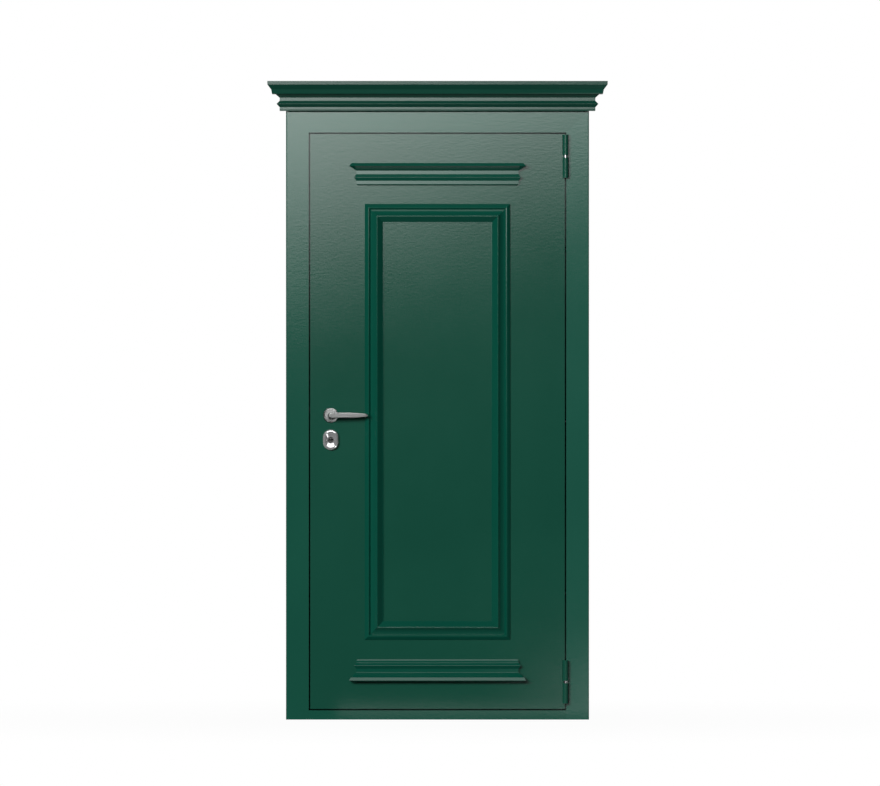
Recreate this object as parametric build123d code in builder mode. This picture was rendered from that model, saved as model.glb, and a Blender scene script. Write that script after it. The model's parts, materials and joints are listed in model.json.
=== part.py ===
from build123d import *
import os

# Frame of reference: x to the right seen from outside, y into the room, z up.
# The origin is on the floor, midway between the jambs, on the wall's outer face.

# Leaf: overall size, sheet, folds and the gap that shows round it
leaf_width = 882
leaf_height = 1992
leaf_depth = 64
leaf_gap = 5
leaf_sheet = 2
hem_depth = 12
channel_flange = 40
rib_flange = 30
rib_place_shares = (-0.33, 0.33)
inner_panel_thick = 12
inner_panel_inset = 22
inner_panel_bevel = 1.5

# Frame: faces seen round the leaf, stand-off from the wall and the folds behind
casing_face = 79
head_face = 75
sill_height = 32
casing_depth = 14
frame_sheet = 2
casing_bend = 4
stop_width = 18
reveal_depth = 42
back_flange = 53
sill_foot = 20
anchor_hole_radius = 7
anchor_inset = 250
anchor_rows = 4

# Seals in the gap between the leaf's back and the stop
seal_gap = 6
seal_width = 5
seal_clear = 0.4
seal_round = 1.5
outer_ring_inset = 2.5
inner_ring_inset = 0.5

# Cornice on the head: reach past the casing, height, sheet and its stepped face
cornice_overhang = 64
cornice_height = 102
cornice_sheet = 1.5
cornice_face_shares = (
    (0.335, 0),
    (0.34, 0.05),
    (0.34, 0.123),
    (0.497, 0.231),
    (0.497, 0.237),
    (0.34, 0.337),
    (0.34, 0.446),
    (0.56, 0.565),
    (0.74, 0.565),
    (0.757, 0.6),
    (0.79, 0.716),
    (0.977, 0.873),
    (0.9915, 0.88),
    (1, 1),
)
cornice_screw_radius = 2
cornice_screw_head = 4
cornice_screw_head_high = 2.5
cornice_screw_length = 10
cornice_screw_shares = (-0.8, -0.4, 0, 0.4, 0.8)

# Ledges on the leaf: width, height, reach from the leaf and their face
ledge_width = 612
ledge_height = 77
ledge_reach = 34
ledge_top_drop = 101
ledge_low_rise = 95
upper_ledge_shares = (
    (0.13, 0),
    (0.265, 0.057),
    (0.265, 0.205),
    (0.493, 0.358),
    (0.493, 0.367),
    (0.265, 0.503),
    (0.265, 0.66),
    (0.7, 0.797),
    (1, 0.872),
    (0.74, 1),
)
lower_ledge_shares = (
    (0.195, 0),
    (0.265, 0.058),
    (0.265, 0.148),
    (0.281, 0.162),
    (0.482, 0.268),
    (0.498, 0.282),
    (0.265, 0.43),
    (0.265, 0.577),
    (0.281, 0.591),
    (0.66, 0.745),
    (0.84, 0.81),
    (1, 0.945),
    (0.72, 1),
)

# Rectangular panel moulding on the leaf
panel_width = 504
panel_top_gap = 64
panel_low_gap = 68
moulding_width = 65
moulding_height = 20
moulding_foot_share = 0.15
moulding_outer_shares = ((0.14, 0.55), (0.19, 0.63), (0.225, 0.62), (0.31, 0.26), (0.39, 0.35))
moulding_cyma_shares = ((0.39, 0.35), (0.5, 0.55), (0.62, 0.94))
moulding_crest_shares = ((0.62, 0.94), (0.655, 1), (0.69, 0.95))
moulding_inner_share = 0.97

# Barrel hinges: axis in the seam on the right
hinge_radius = 10
hinge_clear = 0.5
knuckle_height = 70.5
bearing_height = 8.4
bearing_radius = 8.2
bearing_play = 0.05
hinge_pin_radius = 4.5
hinge_pin_end = 10
hinge_foot_out = 11.5
hinge_foot_in = 2
upper_hinge_inset = 2.5
lower_hinge_inset = 19
running_fit = 0.06

# Dog pins in the hinge edge
dog_pin_radius = 7
dog_pin_reach = 7
dog_pin_collar = 10
dog_pin_collar_thick = 6
dog_pin_clear = 2.5
dog_pin_shares = (0.2, 0.5, 0.8)

# Lock: its place in the leaf, case, faceplate and bolts
handle_backset = 71
handle_height = 1054.5
cylinder_drop = 85
lock_centre_depth = 32
lock_case_width = 20
lock_case_length = 105
lock_case_wall = 1.5
lock_case_above = 65.5
lock_case_below = 192.5
faceplate_width = 24
faceplate_thick = 2
faceplate_margin = 17
pocket_clear = 5
part_clear = 0.5

latch_height = 18
latch_width = 14
latch_throw = 12
latch_head_length = 40
latch_bar = 7
latch_finger = 8
latch_arm = 18
latch_window = 1.5
arm_width = 6
arm_thick = 10
arm_play = 0.5
follower_radius = 9

spring_wire = 0.6
spring_radius = 3.2
spring_turns = 6

deadbolt_radius = 8
deadbolt_length = 42
deadbolt_pitch = 23
deadbolt_count = 3
deadbolt_clear = 6
deadbolt_hole_clear = 1
deadbolt_tip_round = 1
carriage_thick = 8

# Strike plate behind the lock jamb's rebate
strike_thick = 2
strike_width = 30
strike_margin = 26
strike_window_clear = 2

# Small countersunk screws of the lock and strike
screw_radius = 2
screw_head_radius = 4
screw_length = 9
screw_fit = 0.1
faceplate_screw_inset = 8
strike_screw_inset = 9

# Profile cylinder with its cam, plug, screw and guard disc
cylinder_radius = 8.5
cylinder_tail = 10
cylinder_height = 33
cylinder_hole_clear = 0.8
cylinder_outer_reach = 5.8
cylinder_inner_reach = 8
plug_radius = 6.5
key_slot_width = 2.4
key_slot_length = 9
key_slot_depth = 22
cam_slot = 10
cam_radius = 8.4
cam_lobe = 15
cam_lobe_width = 8
cam_clear = 0.3
cam_bridge_clear = 1
cylinder_screw_radius = 2.5
cylinder_screw_head = 4.5

# Oval escutcheons
escutcheon_width = 54
escutcheon_height = 72
escutcheon_thick = 14
escutcheon_round = 7
dish_width = 36
dish_height = 53
dish_foot_width = 24
dish_foot_height = 26
guard_seat = 6
guard_radius = 11
guard_thick = 2.4
guard_fit = 0.15
guard_slot_width = 4
guard_slot_length = 12
guard_ring_share = 0.72
guard_ring_depth = 0.6
inner_escutcheon_thick = 8
inner_escutcheon_round = 2.6

# Thumbturn on the room side
turn_stem_radius = 10
turn_stem_length = 6
turn_grip_length = 34
turn_grip_width = 11
turn_grip_reach = 16
turn_round = 2.5
turn_play = 0.4

# Lever handles and roses
rose_radius = 26.5
rose_thick = 9
rose_face_shares = (
    (1, 0),
    (1, 0.34),
    (0.97, 0.6),
    (0.91, 0.8),
    (0.85, 0.86),
    (0.835, 0.72),
    (0.79, 0.72),
    (0.775, 0.97),
    (0.75, 1),
)
lever_length = 129
lever_high = 19
lever_thick = 12
lever_reach = 36
lever_neck_radius = 9
lever_boss_radius = 10
lever_boss_round = 4
lever_corner_share = 0.16
lever_section_shares = (
    (0, 0.92, 0.98),
    (0.2, 0.98, 0.98),
    (0.4, 1, 0.97),
    (0.57, 0.97, 0.93),
    (0.8, 0.8, 0.73),
    (0.95, 0.58, 0.46),
    (1, 0.3, 0.24),
)
spindle_side = 8
spindle_fit = 0.05
spindle_end = 8
handle_hole_radius = 11
grub_radius = 2
grub_fit = 0.05
grub_flush = 0.5
rose_bolt_radius = 2.5
rose_bolt_spread = 19
rose_bolt_head = 4.5
rose_bolt_head_high = 3
rose_bolt_bite = 5
rose_bolt_sink = 2

# Extra length of every through cut
overrun = 5

# Places worked out from the sizes
open_half = leaf_width / 2 + leaf_gap
open_top = sill_height + leaf_height + 2 * leaf_gap
casing_half = open_half + casing_face
casing_top = open_top + head_face
front_y = -casing_depth
leaf_back_y = front_y + leaf_depth
stop_y = leaf_back_y + seal_gap
frame_back_y = stop_y + reveal_depth
panel_back_y = leaf_back_y + inner_panel_thick
reveal_half = open_half - stop_width
sill_stop = sill_height + stop_width

leaf_half = leaf_width / 2
leaf_low = sill_height + leaf_gap
leaf_top = leaf_low + leaf_height
leaf_mid = (leaf_low + leaf_top) / 2
web_half = leaf_half - leaf_sheet
core_half = web_half - leaf_sheet
rim = 2 * leaf_sheet

anchor_y = stop_y + reveal_depth / 2
anchor_pitch = (open_top - 2 * anchor_inset) / (anchor_rows - 1)
anchor_heights = [anchor_inset + row * anchor_pitch for row in range(anchor_rows)]

hinge_x = leaf_half + leaf_gap / 2
hinge_y = front_y - hinge_radius - hinge_clear
hinge_height = 2 * knuckle_height + bearing_height
hinge_feet = {
    "upper": leaf_top - upper_hinge_inset - hinge_height,
    "lower": leaf_low + lower_hinge_inset,
}

lock_y = front_y + lock_centre_depth
handle_x = handle_backset - leaf_half
cylinder_z = handle_height - cylinder_drop
dog_pin_heights = [leaf_low + share * leaf_height for share in dog_pin_shares]

case_back_x = lock_case_length - web_half
case_low = handle_height - lock_case_below
case_top = handle_height + lock_case_above
case_mid = (case_low + case_top) / 2
faceplate_x = -web_half - faceplate_thick
faceplate_height = case_top - case_low + 2 * faceplate_margin
faceplate_screw_heights = [
    case_low - faceplate_margin + faceplate_screw_inset,
    case_top + faceplate_margin - faceplate_screw_inset,
]
latch_z = handle_height + latch_arm
cylinder_low = cylinder_z + cylinder_radius - cylinder_height
bridge_top = cylinder_z - cam_lobe - cam_bridge_clear
cylinder_screw_z = (cylinder_low + bridge_top) / 2
deadbolt_heights = [
    cylinder_low - deadbolt_clear - deadbolt_radius - step * deadbolt_pitch for step in range(deadbolt_count)
]
deadbolt_mid = (deadbolt_heights[0] + deadbolt_heights[-1]) / 2
deadbolt_span = deadbolt_heights[0] - deadbolt_heights[-1] + 2 * deadbolt_radius

strike_low = deadbolt_heights[-1] - strike_margin
strike_top = latch_z + strike_margin
strike_mid = (strike_low + strike_top) / 2
strike_screw_heights = [strike_low + strike_screw_inset, strike_top - strike_screw_inset]

cylinder_front_y = front_y - cylinder_outer_reach
cylinder_back_y = panel_back_y + cylinder_inner_reach
guard_floor_y = front_y - guard_seat
guard_front_y = guard_floor_y - guard_thick


def front_plane(y):
    """Sketch plane at depth y that faces out of the door, with x to the right and z up."""
    return Plane.XZ.offset(-y)


def side_plane(x):
    """Sketch plane at width x, with y to the right and z up."""
    return Plane.YZ.offset(x)


def turning_plane(x, y, z, out):
    """Plane of a turned piece's outline: radius along x, and out of the face along y."""
    return Plane(origin=(x, y, z), x_dir=(1, 0, 0), z_dir=(0, 0, out))


def draw_closed(points):
    """Face with straight edges through the points, in the sketch that is open."""
    Polygon(*points, align=None)


def cylinder_outline(grow):
    """Round head and flat tail of the profile cylinder, grown all round by grow."""
    with Locations((handle_x, cylinder_z)):
        Circle(cylinder_radius + grow)
    with Locations((handle_x, cylinder_low - grow)):
        tail_size = (cylinder_tail + 2 * grow, cylinder_z - cylinder_low + grow)
        Rectangle(*tail_size, align=(Align.CENTER, Align.MIN))


# Bent sheet frame: two jambs and the head share one folded section

casing_bends = [(0, casing_bend), (frame_sheet, casing_bend - frame_sheet)]


def frame_section(face):
    """Folded section: first number outward from the opening's edge, second number the depth."""
    inner = frame_sheet - stop_width
    flange = back_flange - stop_width
    return [
        (face, 0),
        (face, front_y),
        (0, front_y),
        (0, stop_y),
        (-stop_width, stop_y),
        (-stop_width, frame_back_y),
        (flange, frame_back_y),
        (flange, frame_back_y - frame_sheet),
        (inner, frame_back_y - frame_sheet),
        (inner, stop_y + frame_sheet),
        (frame_sheet, stop_y + frame_sheet),
        (frame_sheet, front_y + frame_sheet),
        (face - frame_sheet, front_y + frame_sheet),
        (face - frame_sheet, 0),
    ]


def frame_mitre(side):
    """Mitre plane through the opening's upper corner, facing the jamb."""
    return Plane(origin=(side * open_half, 0, open_top), z_dir=(side, 0, -1))


def jamb(side, holes, windows):
    """Upright of the frame, with holes (y, z, radius) and windows (y, z, width, height) in its rebate."""
    with BuildPart() as upright:
        with BuildSketch() as section:
            draw_closed([(side * (open_half + out), y) for out, y in frame_section(casing_face)])
            for inset, radius in casing_bends:
                corner = (side * (casing_half - inset), front_y + inset)
                fillet(section.vertices().sort_by_distance(corner)[0], radius)
        extrude(amount=casing_top)
        split(bisect_by=frame_mitre(side), keep=Keep.TOP)
        with BuildSketch(side_plane(side * reveal_half)):
            with Locations(*[(anchor_y, z) for z in anchor_heights]):
                Circle(anchor_hole_radius)
        extrude(amount=frame_sheet + overrun, both=True, mode=Mode.SUBTRACT)
        with BuildSketch(side_plane(side * open_half)):
            for y, z, radius in holes:
                with Locations((y, z)):
                    Circle(radius)
            for y, z, wide, high in windows:
                with Locations((y, z)):
                    Rectangle(wide, high)
        extrude(amount=frame_sheet + overrun, both=True, mode=Mode.SUBTRACT)
    return upright


dog_pin_hole = dog_pin_radius + dog_pin_clear
hinge_jamb = jamb(1, [(lock_y, z, dog_pin_hole) for z in dog_pin_heights], [])

bolt_window_width = 2 * (deadbolt_radius + deadbolt_hole_clear + strike_window_clear)
bolt_window_height = deadbolt_span + 2 * (deadbolt_hole_clear + strike_window_clear)
latch_window_width = latch_width + 2 * latch_window
latch_window_height = latch_height + 2 * latch_window
lock_jamb = jamb(
    -1,
    [(lock_y, z, screw_head_radius + screw_fit) for z in strike_screw_heights],
    [
        (lock_y, deadbolt_mid, bolt_window_width, bolt_window_height),
        (
            lock_y,
            latch_z,
            latch_window_width + 2 * strike_window_clear,
            latch_window_height + 2 * strike_window_clear,
        ),
    ],
)

cornice_screw_places = [(share * open_half, front_y / 2) for share in cornice_screw_shares]

with BuildPart() as frame_head:
    with BuildSketch(Plane.YZ) as head_section:
        draw_closed([(y, open_top + out) for out, y in frame_section(head_face)])
        for inset, radius in casing_bends:
            corner = (front_y + inset, casing_top - inset)
            fillet(head_section.vertices().sort_by_distance(corner)[0], radius)
    extrude(amount=casing_half, both=True)
    for side in (-1, 1):
        split(bisect_by=frame_mitre(side), keep=Keep.BOTTOM)
    with BuildSketch(Plane.XY.offset(casing_top)):
        with Locations(*cornice_screw_places):
            Circle(cornice_screw_radius + screw_fit)
    extrude(amount=-frame_sheet - overrun, mode=Mode.SUBTRACT)

with BuildPart() as threshold:
    with BuildSketch(Plane.YZ):
        draw_closed(
            [
                (front_y + sill_foot, 0),
                (front_y, 0),
                (front_y, sill_height),
                (stop_y, sill_height),
                (stop_y, sill_stop),
                (frame_back_y, sill_stop),
                (frame_back_y, 0),
                (frame_back_y - sill_foot, 0),
                (frame_back_y - sill_foot, frame_sheet),
                (frame_back_y - frame_sheet, frame_sheet),
                (frame_back_y - frame_sheet, sill_stop - frame_sheet),
                (stop_y + frame_sheet, sill_stop - frame_sheet),
                (stop_y + frame_sheet, sill_height - frame_sheet),
                (front_y + frame_sheet, sill_height - frame_sheet),
                (front_y + frame_sheet, frame_sheet),
                (front_y + sill_foot, frame_sheet),
            ]
        )
    extrude(amount=open_half, both=True)
    with BuildSketch():
        for side in (-1, 1):
            with Locations((side * open_half, stop_y)):
                Rectangle(2 * stop_width, reveal_depth + overrun, align=(Align.CENTER, Align.MIN))
    extrude(amount=sill_stop + overrun, mode=Mode.SUBTRACT)


# Seals: the outer ring on the frame's stop, the inner ring on the leaf's back


def seal_ring(back_y, out, half_width, low, top):
    """Rubber ring on the face at back_y, with its free edges rounded."""
    with BuildPart() as ring:
        with BuildSketch(front_plane(back_y)):
            with Locations((0, (low + top) / 2)):
                Rectangle(2 * half_width, top - low)
                Rectangle(2 * (half_width - seal_width), top - low - 2 * seal_width, mode=Mode.SUBTRACT)
        extrude(amount=out * (seal_gap - seal_clear))
        free_face = ring.faces().sort_by(Axis.Y)[0 if out > 0 else -1]
        fillet(free_face.edges(), seal_round)
    return ring


frame_seal_low = leaf_low + outer_ring_inset
frame_seal_top = leaf_top - outer_ring_inset
frame_seal = seal_ring(stop_y, 1, leaf_half - outer_ring_inset, frame_seal_low, frame_seal_top)

inner_ring_lap = inner_ring_inset + seal_width
leaf_seal_low = sill_stop - inner_ring_lap
leaf_seal_top = open_top - stop_width + inner_ring_lap
leaf_seal = seal_ring(leaf_back_y, -1, reveal_half + inner_ring_lap, leaf_seal_low, leaf_seal_top)


# Cornice: folded sheet with an open back, mitred at both corners


def cornice_points(place):
    """Outline of the cornice, where place turns (out, up) into the sketch's own numbers."""
    face = [(out * cornice_overhang, up * cornice_height) for out, up in cornice_face_shares]
    back = -casing_depth - cornice_sheet - overrun
    return [place(out, up) for out, up in [(back, 0), *face, (back, cornice_height)]]


def cornice_mitre(side):
    """Mitre plane at the casing's corner, facing the return."""
    return Plane(origin=(side * casing_half, front_y, 0), z_dir=(side, 1, 0))


with BuildPart() as cornice_front:
    with BuildSketch(Plane.YZ):
        draw_closed(cornice_points(lambda out, up: (front_y - out, casing_top + up)))
        offset(amount=-cornice_sheet, kind=Kind.INTERSECTION, mode=Mode.SUBTRACT)
    extrude(amount=casing_half + cornice_overhang, both=True)
    split(bisect_by=Plane.XZ, keep=Keep.TOP)
    for side in (-1, 1):
        split(bisect_by=cornice_mitre(side), keep=Keep.BOTTOM)
    with BuildSketch(Plane.XY.offset(casing_top)):
        with Locations(*cornice_screw_places):
            Circle(cornice_screw_radius + screw_fit)
    extrude(amount=cornice_sheet, both=True, mode=Mode.SUBTRACT)


def cornice_return(side):
    """Short end of the cornice, from its mitre back to the wall."""
    with BuildPart() as end:
        with BuildSketch(Plane.XZ):
            draw_closed(cornice_points(lambda out, up: (side * (casing_half + out), casing_top + up)))
            offset(amount=-cornice_sheet, kind=Kind.INTERSECTION, mode=Mode.SUBTRACT)
        extrude(amount=casing_depth + cornice_overhang)
        split(bisect_by=cornice_mitre(side), keep=Keep.TOP)
    return end


cornice_left_return = cornice_return(-1)
cornice_right_return = cornice_return(1)

with BuildPart() as cornice_screws:
    with BuildSketch(Plane.XY.offset(casing_top + cornice_sheet)):
        with Locations(*cornice_screw_places):
            Circle(cornice_screw_head)
    extrude(amount=cornice_screw_head_high)
    with BuildSketch(Plane.XY.offset(casing_top + cornice_sheet)):
        with Locations(*cornice_screw_places):
            Circle(cornice_screw_radius)
    extrude(amount=-cornice_screw_length)


# Bars of a mitred rectangle on the leaf: its rim channels and its panel moulding


def mitred_bar(draw, centre, inward, half_across, along, half_along):
    """One bar: draw makes its section, with x inward from the outer edge and y out of the door."""
    outward = Vector(0, -1, 0)
    middle = centre - inward * half_across
    with BuildPart() as bar:
        with BuildSketch(Plane(origin=middle, x_dir=inward, z_dir=inward.cross(outward))):
            draw()
        extrude(amount=half_along, both=True)
        for end in (along, along * -1):
            split(bisect_by=Plane(origin=middle + end * half_along, z_dir=inward + end), keep=Keep.BOTTOM)
    return bar


right = Vector(1, 0, 0)
up = Vector(0, 0, 1)


def channel_section():
    """U-channel of the leaf's rim, open towards the middle of the leaf."""
    depth = leaf_depth - leaf_sheet
    draw_closed(
        [
            (0, 0),
            (0, -depth),
            (channel_flange, -depth),
            (channel_flange, leaf_sheet - depth),
            (leaf_sheet, leaf_sheet - depth),
            (leaf_sheet, -leaf_sheet),
            (channel_flange, -leaf_sheet),
            (channel_flange, 0),
        ]
    )


rim_centre = Vector(0, front_y + leaf_sheet, leaf_mid)
rim_half = (web_half, leaf_height / 2 - leaf_sheet)
hinge_stile_bar = mitred_bar(channel_section, rim_centre, right * -1, rim_half[0], up, rim_half[1])
lock_stile_bar = mitred_bar(channel_section, rim_centre, right, rim_half[0], up, rim_half[1])
top_rail = mitred_bar(channel_section, rim_centre, up * -1, rim_half[1], right, rim_half[0])
bottom_rail = mitred_bar(channel_section, rim_centre, up, rim_half[1], right, rim_half[0])

with BuildPart() as hinge_stile:
    add(hinge_stile_bar.part)
    with BuildSketch(side_plane(web_half)):
        with Locations(*[(lock_y, z) for z in dog_pin_heights]):
            Circle(dog_pin_radius + running_fit)
    extrude(amount=-leaf_sheet - overrun, mode=Mode.SUBTRACT)

with BuildPart() as lock_stile:
    add(lock_stile_bar.part)
    with BuildSketch(side_plane(-web_half)):
        with Locations((lock_y, case_mid)):
            Rectangle(lock_case_width + 2 * part_clear, case_top - case_low + 2 * part_clear)
        with Locations(*[(lock_y, z) for z in faceplate_screw_heights]):
            Circle(screw_radius + screw_fit)
    extrude(amount=leaf_sheet + overrun, mode=Mode.SUBTRACT)

# Outer skin: folded tray with the holes of the handle and the cylinder

rose_bolt_places = [(handle_x + side * rose_bolt_spread, handle_height) for side in (-1, 1)]


def handle_holes():
    """Holes for the handle, its bolts and the cylinder, in the sketch that is open."""
    with Locations((handle_x, handle_height)):
        Circle(handle_hole_radius)
    with Locations(*rose_bolt_places):
        Circle(rose_bolt_radius + part_clear)
    cylinder_outline(cylinder_hole_clear)


with BuildPart() as outer_skin:
    with BuildSketch(front_plane(front_y)):
        with Locations((0, leaf_mid)):
            Rectangle(leaf_width, leaf_height)
    extrude(amount=-hem_depth)
    with BuildSketch(front_plane(front_y + leaf_sheet)):
        with Locations((0, leaf_mid)):
            Rectangle(2 * web_half, leaf_height - 2 * leaf_sheet)
    extrude(amount=-hem_depth, mode=Mode.SUBTRACT)
    with BuildSketch(front_plane(front_y)):
        handle_holes()
    extrude(amount=leaf_sheet + overrun, both=True, mode=Mode.SUBTRACT)

# Ribs between the rails, and insulation in the bays between them

rib_places = [share * leaf_half for share in rib_place_shares]
rib_length = leaf_height - 2 * (leaf_sheet + channel_flange)
rib_depth = leaf_depth - leaf_sheet

with BuildPart() as stiffening_ribs:
    with BuildSketch(Plane.XY.offset(leaf_mid)):
        for x in rib_places:
            with Locations((x, front_y + leaf_sheet)):
                Rectangle(rib_flange, rib_depth, align=(Align.MIN, Align.MIN))
            with Locations((x + leaf_sheet, front_y + rim)):
                hollow = (rib_flange, rib_depth - rim)
                Rectangle(*hollow, align=(Align.MIN, Align.MIN), mode=Mode.SUBTRACT)
    extrude(amount=rib_length / 2, both=True)

bay_edges = [(-core_half, rib_places[0])]
bay_edges += [(x + leaf_sheet, other) for x, other in zip(rib_places, rib_places[1:])]
bay_edges += [(rib_places[-1] + leaf_sheet, core_half)]

with BuildPart() as insulation:
    with BuildSketch(front_plane(front_y + rim)):
        for low, high in bay_edges:
            with Locations(((low + high) / 2, leaf_mid)):
                Rectangle(high - low, leaf_height - 2 * rim)
        with Locations((-core_half, case_mid)):
            pocket = (2 * (lock_case_length + pocket_clear), faceplate_height + 2 * pocket_clear)
            Rectangle(*pocket, mode=Mode.SUBTRACT)
    extrude(amount=-(leaf_depth - 2 * rim + leaf_sheet))
    with BuildSketch(side_plane(core_half)):
        with Locations(*[(lock_y, z) for z in dog_pin_heights]):
            Circle(dog_pin_collar + part_clear)
    extrude(amount=-dog_pin_collar_thick - part_clear, mode=Mode.SUBTRACT)

with BuildPart() as inner_panel:
    with BuildSketch(front_plane(leaf_back_y)):
        with Locations((0, leaf_mid)):
            Rectangle(leaf_width - 2 * inner_panel_inset, leaf_height - 2 * inner_panel_inset)
    extrude(amount=-inner_panel_thick)
    chamfer(inner_panel.faces().sort_by(Axis.Y)[-1].edges(), inner_panel_bevel)
    with BuildSketch(front_plane(leaf_back_y)):
        handle_holes()
    extrude(amount=-inner_panel_thick - overrun, mode=Mode.SUBTRACT)

with BuildPart() as dog_pins:
    with BuildSketch(side_plane(core_half)):
        with Locations(*[(lock_y, z) for z in dog_pin_heights]):
            Circle(dog_pin_radius)
    extrude(amount=leaf_half - core_half + leaf_gap + dog_pin_reach)
    with BuildSketch(side_plane(core_half)):
        with Locations(*[(lock_y, z) for z in dog_pin_heights]):
            Circle(dog_pin_collar)
    extrude(amount=-dog_pin_collar_thick)


# Hinges: fixed half below, bearing ring, moving half above, on one pin


def knuckle(side, low, bore_low, bore_top):
    """Barrel with a foot on the leaf (side -1) or the casing (side 1), bored for the pin."""
    with BuildPart() as barrel:
        with BuildSketch(Plane.XY.offset(low)):
            with Locations((hinge_x, hinge_y)):
                Circle(hinge_radius)
            draw_closed(
                [
                    (hinge_x, hinge_y),
                    (hinge_x + side * hinge_radius, hinge_y),
                    (hinge_x + side * hinge_foot_out, front_y),
                    (hinge_x + side * hinge_foot_in, front_y),
                ]
            )
        extrude(amount=knuckle_height)
        with BuildSketch(Plane.XY.offset(bore_low)):
            with Locations((hinge_x, hinge_y)):
                Circle(hinge_pin_radius + running_fit)
        extrude(amount=bore_top - bore_low, mode=Mode.SUBTRACT)
    return barrel


hinge_pieces = {}
for place, foot in hinge_feet.items():
    bearing_low = foot + knuckle_height
    leaf_knuckle_low = bearing_low + bearing_height
    pin_low = foot + hinge_pin_end
    pin_top = foot + hinge_height - hinge_pin_end

    hinge_pieces[place + "_frame_knuckle"] = knuckle(1, foot, pin_low, bearing_low)
    bore_top = pin_top + part_clear
    hinge_pieces[place + "_leaf_knuckle"] = knuckle(-1, leaf_knuckle_low, leaf_knuckle_low, bore_top)

    with BuildPart() as hinge_pin:
        with BuildSketch(Plane.XY.offset(pin_low)):
            with Locations((hinge_x, hinge_y)):
                Circle(hinge_pin_radius)
        extrude(amount=pin_top - pin_low)
    hinge_pieces[place + "_hinge_pin"] = hinge_pin

    with BuildPart() as bearing:
        with BuildSketch(Plane.XY.offset(bearing_low)):
            with Locations((hinge_x, hinge_y)):
                Circle(bearing_radius)
                Circle(hinge_pin_radius + running_fit, mode=Mode.SUBTRACT)
        extrude(amount=bearing_height - bearing_play)
    hinge_pieces[place + "_hinge_bearing"] = bearing


# Mouldings on the leaf


def ledge(foot_z, direction, face_shares):
    """Ledge with returned ends: the same face shows in front and at both ends."""
    rise = direction * ledge_height
    face = [(out * ledge_reach, foot_z + share * rise) for out, share in face_shares]
    end_half = ledge_width / 2 - ledge_reach
    with BuildPart() as bar:
        with BuildSketch(Plane.YZ):
            front = [(front_y - out, z) for out, z in face]
            draw_closed([(front_y, face[0][1]), *front, (front_y, face[-1][1])])
        extrude(amount=ledge_width, both=True)
        with BuildSketch(front_plane(front_y)):
            right_end = [(end_half + out, z) for out, z in face]
            left_end = [(-x, z) for x, z in reversed(right_end)]
            draw_closed(right_end + left_end)
        extrude(amount=ledge_reach, mode=Mode.INTERSECT)
    return bar


upper_ledge_foot = leaf_top - ledge_top_drop - ledge_height
lower_ledge_foot = leaf_low + ledge_low_rise + ledge_height
upper_ledge = ledge(upper_ledge_foot, 1, upper_ledge_shares)
lower_ledge = ledge(lower_ledge_foot, -1, lower_ledge_shares)


def moulding_section():
    """Panel moulding: small outer bead, hollow, wide cyma, crest and inner slope."""

    def place(shares):
        return [(across * moulding_width, out * moulding_height) for across, out in shares]

    foot = moulding_foot_share * moulding_height
    outer = place(moulding_outer_shares)
    crest = place(moulding_crest_shares)
    with BuildLine() as outline:
        Polyline((0, 0), (0, foot), *outer)
        Spline(*place(moulding_cyma_shares))
        ThreePointArc(*crest)
        inner_foot = (moulding_inner_share * moulding_width, foot)
        Polyline(crest[-1], inner_foot, (moulding_width, foot), (moulding_width, 0), (0, 0))
    make_face(outline.edges())


panel_low = lower_ledge_foot + panel_low_gap
panel_top = upper_ledge_foot - panel_top_gap
panel_centre = Vector(0, front_y, (panel_low + panel_top) / 2)
panel_half = (panel_width / 2, (panel_top - panel_low) / 2)
panel_moulding_left = mitred_bar(moulding_section, panel_centre, right, panel_half[0], up, panel_half[1])
left = right * -1
panel_moulding_right = mitred_bar(moulding_section, panel_centre, left, panel_half[0], up, panel_half[1])
panel_moulding_top = mitred_bar(moulding_section, panel_centre, up * -1, panel_half[1], right, panel_half[0])
panel_moulding_bottom = mitred_bar(moulding_section, panel_centre, up, panel_half[1], right, panel_half[0])

# Mortice lock: case, faceplate and what slides and turns in it

case_inner = lock_case_width - 2 * lock_case_wall

with BuildPart() as lock_case:
    with BuildSketch(side_plane(-web_half)):
        with Locations((lock_y, case_mid)):
            Rectangle(lock_case_width, case_top - case_low)
    extrude(amount=lock_case_length)
    with BuildSketch(side_plane(-web_half)):
        with Locations((lock_y, case_mid)):
            Rectangle(case_inner, case_top - case_low - 2 * lock_case_wall)
    extrude(amount=lock_case_length - lock_case_wall, mode=Mode.SUBTRACT)
    with BuildSketch(front_plane(lock_y)):
        with Locations((handle_x, handle_height)):
            Circle(follower_radius + running_fit)
        with Locations(*rose_bolt_places):
            Circle(rose_bolt_radius + part_clear)
        cylinder_outline(cylinder_hole_clear)
    extrude(amount=lock_case_width, both=True, mode=Mode.SUBTRACT)


def screw_holes(plane_of, places, radius, head_radius):
    """Countersunk holes, in the part that is open, at planes that face out of the hole."""
    with Locations(*[plane_of(y, z) for y, z in places]):
        CounterSinkHole(radius + screw_fit, head_radius + screw_fit)


def screws_in(plane_of, places, radius, head_radius, length):
    """Countersunk screws, each turned about its own axis, with their heads flush."""
    with BuildPart() as screws:
        for y, z in places:
            seat = plane_of(y, z)
            with BuildSketch(Plane(origin=seat.origin, x_dir=(0, 1, 0), z_dir=(0, 0, 1))):
                draw_closed(
                    [
                        (0, 0),
                        (head_radius, 0),
                        (radius, radius - head_radius),
                        (radius, -length),
                        (0, -length),
                    ]
                )
            revolve(axis=Axis(seat.origin, seat.z_dir))
    return screws


def faceplate_seat(y, z):
    """Plane on the faceplate's outer face, facing the jamb."""
    return Plane(origin=(faceplate_x, y, z), x_dir=(0, 1, 0), z_dir=(-1, 0, 0))


faceplate_screw_places = [(lock_y, z) for z in faceplate_screw_heights]
cylinder_screw_place = [(lock_y, cylinder_screw_z)]

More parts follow.
